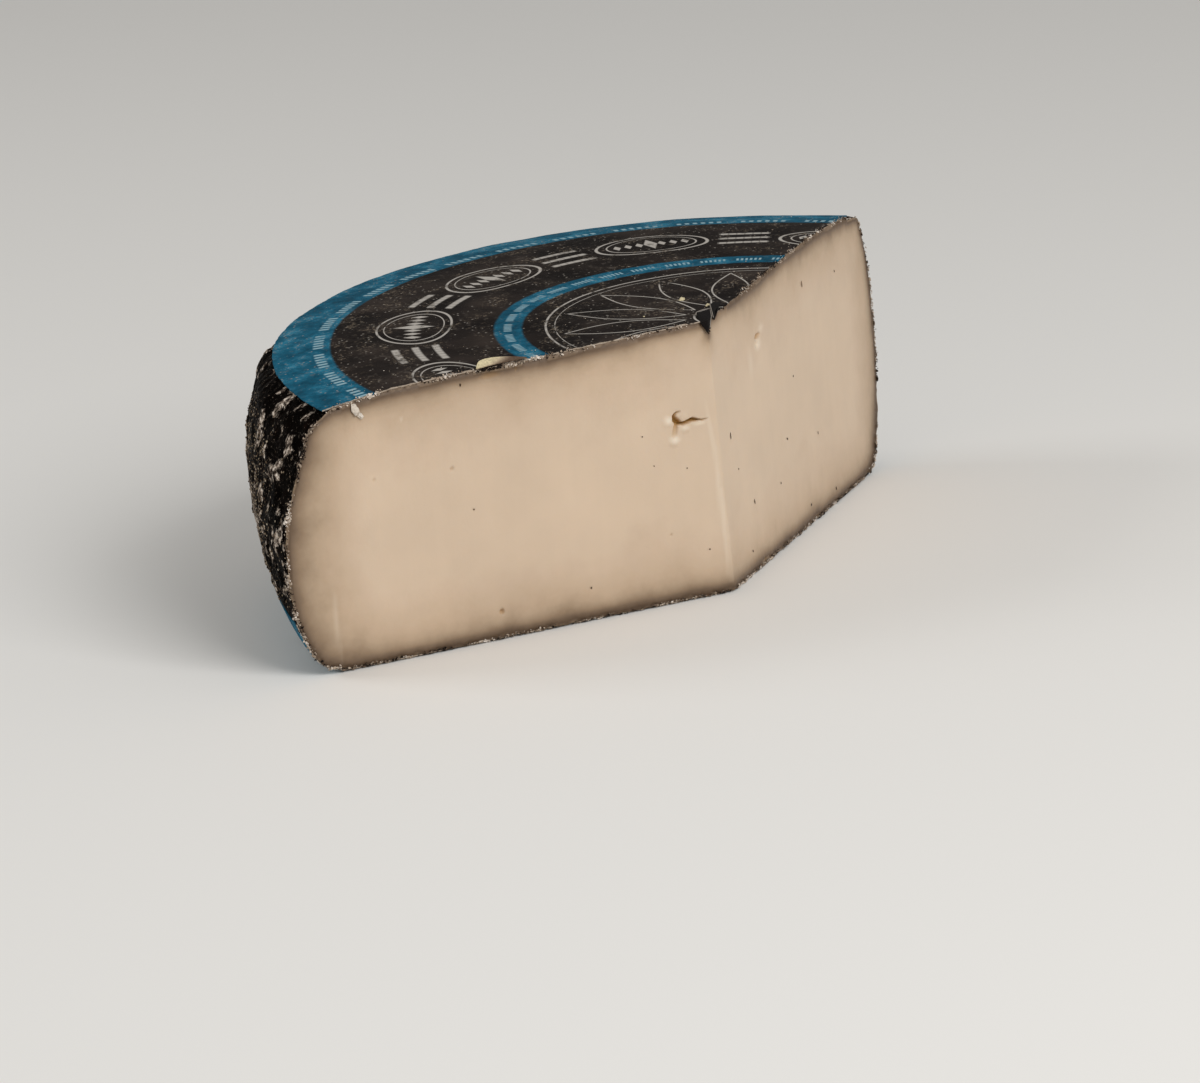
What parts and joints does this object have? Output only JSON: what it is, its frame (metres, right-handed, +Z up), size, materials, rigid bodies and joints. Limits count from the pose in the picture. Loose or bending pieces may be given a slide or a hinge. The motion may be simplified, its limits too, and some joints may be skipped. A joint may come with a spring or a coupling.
{
  "type": "cut goat cheese",
  "caption": "Wide wedge of a black-rinded hard goat cheese wheel, with round paper labels above and below, resting on its flat underside.",
  "frame": {"origin": "middle of the piece's own box, on the surface it rests on", "axes": "+Z up; +Y from the corner where the cuts meet towards the middle of the rind; +X across the piece, towards the thicker cut"},
  "size_m": [0.2476, 0.127, 0.0764],
  "materials": {
    "cheese": "waxy cream paste on the cuts, thin black semi-gloss rind with grey mould outside",
    "label": "scuffed matt printed paper, charcoal with two blue rings",
    "label_under": "scuffed matt printed paper, blue outer ring"
  },
  "bodies": {
    "root": {"cheese": "cheese", "label_top": "label", "label_bottom": "label_under"}
  },
  "joints": []
}
